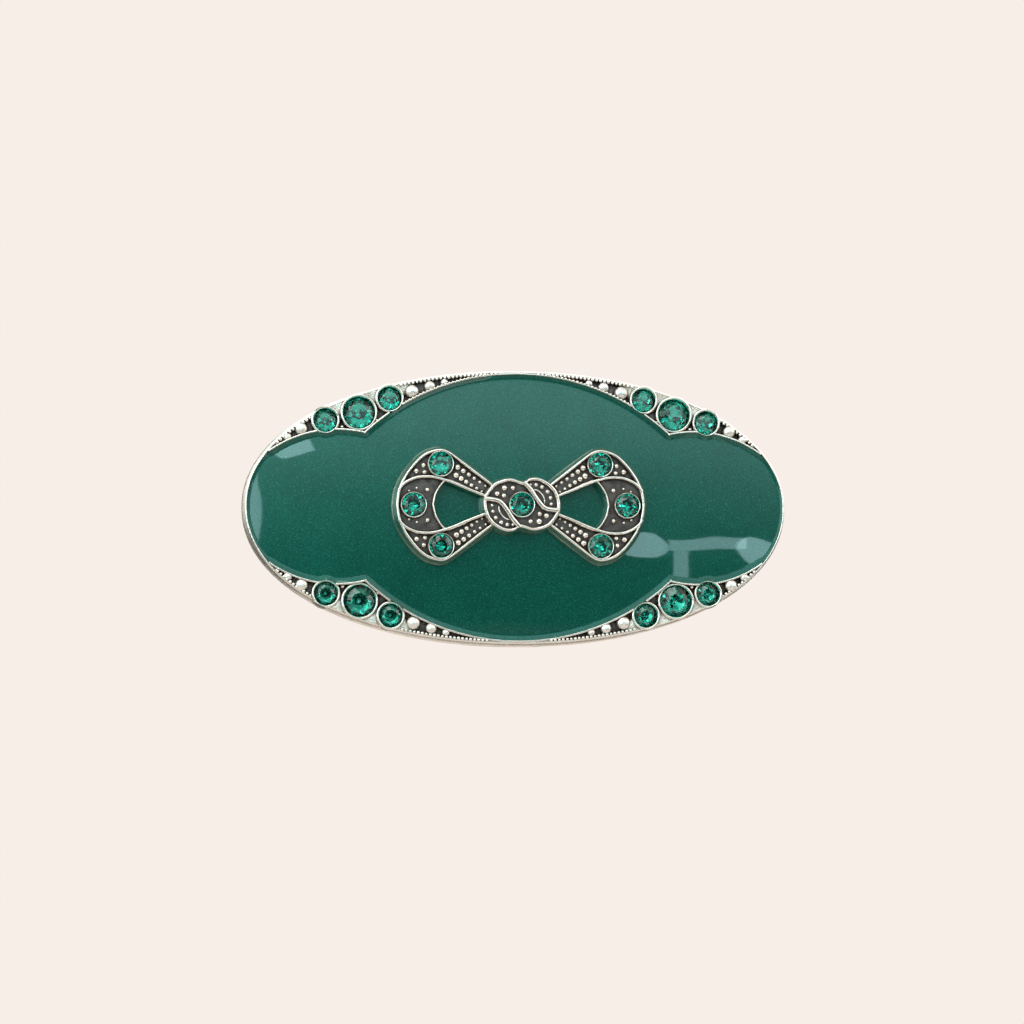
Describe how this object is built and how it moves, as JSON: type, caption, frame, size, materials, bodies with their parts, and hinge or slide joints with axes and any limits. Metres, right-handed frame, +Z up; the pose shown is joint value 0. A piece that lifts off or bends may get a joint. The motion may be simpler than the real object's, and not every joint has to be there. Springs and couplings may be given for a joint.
{
  "type": "rhinestone hair clip",
  "caption": "Oval French barrette with a domed antique-silver plate, dark green enamel, a bow ornament, green stones and a hinged steel clasp with a pinch catch",
  "frame": {"origin": "the middle of the space between the clip's fixed bar and its closing arm, at mid length", "axes": "+X along the clip toward the catch, +Y from the jewelled face toward the head, +Z up"},
  "size_m": [0.076, 0.0178, 0.0384],
  "materials": {
    "antique_silver": "cast, silver plated and oxidised in the recesses, polished on the rims",
    "green_enamel": "poured glossy resin enamel with fine metallic glitter",
    "green_stone": "faceted and foil backed",
    "spring_steel": "nickel plated, satin"
  },
  "bodies": {
    "jewel": {"frame_plate": "antique_silver", "bow_ornament": "antique_silver", "enamel": "green_enamel", "clip_base": "spring_steel", "hinge_pin": "spring_steel", "rivet_left": "spring_steel", "rivet_right": "spring_steel", "stone_end_top_left": "green_stone", "stone_end_top_right": "green_stone", "stone_end_bottom_left": "green_stone", "stone_end_bottom_right": "green_stone", "stone_large_top_left": "green_stone", "stone_large_top_right": "green_stone", "stone_large_bottom_left": "green_stone", "stone_large_bottom_right": "green_stone", "stone_inner_top_left": "green_stone", "stone_inner_top_right": "green_stone", "stone_inner_bottom_left": "green_stone", "stone_inner_bottom_right": "green_stone", "stone_bow_centre": "green_stone", "stone_bow_left": "green_stone", "stone_bow_right": "green_stone", "stone_bow_top_left": "green_stone", "stone_bow_top_right": "green_stone", "stone_bow_bottom_left": "green_stone", "stone_bow_bottom_right": "green_stone"},
    "arm": {"clip_arm": "spring_steel"},
    "leaf": {"tension_leaf": "spring_steel"},
    "upper_blade": {"catch_upper": "spring_steel"},
    "lower_blade": {"catch_lower": "spring_steel"}
  },
  "joints": [
    {"name": "arm_hinge", "type": "hinge", "parent": "jewel", "child": "arm", "pos_m": [-0.0315, 0.00432, 0], "axis": [0, 0, 1], "range_deg": [0, 100]},
    {"name": "leaf_hinge", "type": "hinge", "parent": "jewel", "child": "leaf", "pos_m": [-0.0315, 0.00432, 0], "axis": [0, 0, 1], "range_deg": [0, 14]},
    {"name": "catch_upper_flex", "type": "hinge", "parent": "jewel", "child": "upper_blade", "pos_m": [0.028, -0.00228, 0.0015], "axis": [-1, 0, 0], "range_deg": [0, 5.5], "stiffness_Nm_per_rad": 0.2},
    {"name": "catch_lower_flex", "type": "hinge", "parent": "jewel", "child": "lower_blade", "pos_m": [0.028, -0.00228, -0.0015], "axis": [1, 0, 0], "range_deg": [0, 5.5], "stiffness_Nm_per_rad": 0.2}
  ],
  "couplings": [
    {"joint": "leaf_hinge", "follows": "arm_hinge", "ratio": 0.14},
    {"joint": "catch_lower_flex", "follows": "catch_upper_flex", "ratio": 1}
  ]
}
